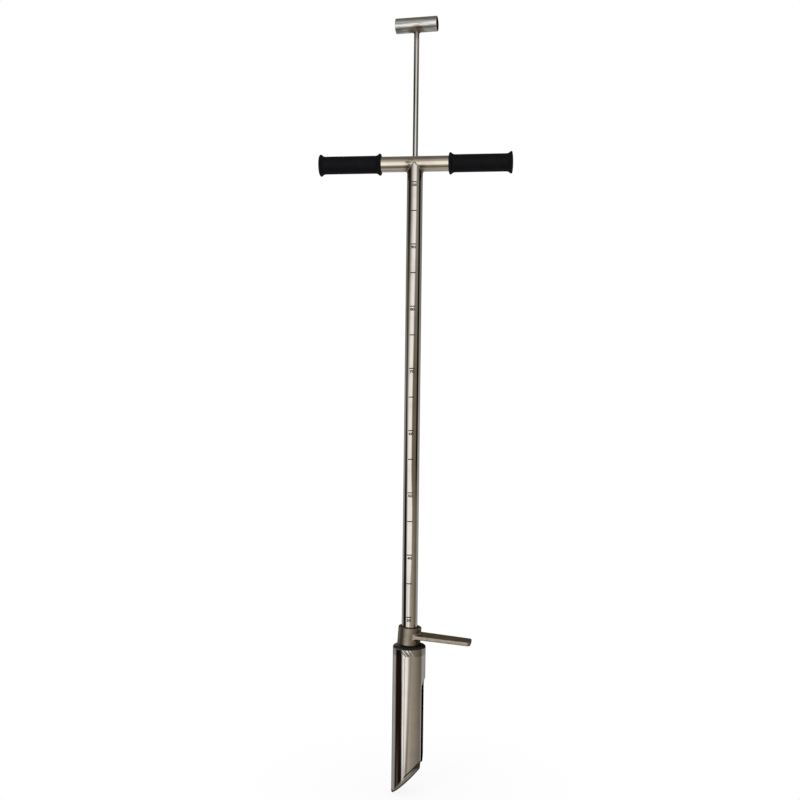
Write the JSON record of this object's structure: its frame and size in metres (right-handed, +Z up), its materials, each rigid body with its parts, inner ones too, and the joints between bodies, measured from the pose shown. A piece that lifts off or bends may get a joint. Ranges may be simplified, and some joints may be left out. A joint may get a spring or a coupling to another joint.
{
  "type": "hollow dibber",
  "caption": "Long-handled hollow planting dibber: T-handle, marked shaft, sliding foot collar, slotted coring tube with slanted edge, and push-rod ejector.",
  "frame": {"origin": "on the shaft axis, level with the cutting tip", "axes": "+Z up the shaft, +X along the crossbar towards the corer's slot side, -Y towards the depth scale"},
  "size_m": [0.321, 0.054, 1.2751],
  "materials": {
    "tube_steel": "drawn stainless tube, lightly polished",
    "bright_steel": "brushed stainless",
    "weld_steel": "weld metal with heat tint",
    "cast_steel": "bead-blasted stainless casting",
    "grip_rubber": "matte black rubber",
    "bush_plastic": "natural nylon"
  },
  "bodies": {
    "tool_frame": {"corer_tube": "tube_steel", "corer_top_plate": "tube_steel", "corer_rim_weld": "weld_steel", "shaft_tube": "tube_steel", "shaft_base_weld": "weld_steel", "handle_crossbar": "tube_steel", "handle_weld": "weld_steel", "left_grip": "grip_rubber", "right_grip": "grip_rubber", "lower_guide_bush": "bush_plastic"},
    "ejector": {"ejector_disc": "bright_steel"},
    "plunger": {"push_rod": "bright_steel", "push_knob": "bright_steel", "knob_weld": "weld_steel", "rod_washer": "bright_steel", "rod_lock_nut": "bright_steel"},
    "collar": {"foot_collar": "cast_steel"}
  },
  "joints": [
    {"name": "ejector_slide", "type": "slide", "parent": "tool_frame", "child": "ejector", "axis": [0, 0, 1], "range_m": [-0.202, 0]},
    {"name": "plunger_turn", "type": "hinge", "parent": "ejector", "child": "plunger", "pos_m": [0, 0, 0.2268], "axis": [0, 0, 1], "continuous": true},
    {"name": "collar_slide", "type": "slide", "parent": "tool_frame", "child": "collar", "axis": [0, 0, 1], "range_m": [0, 0.744]}
  ]
}
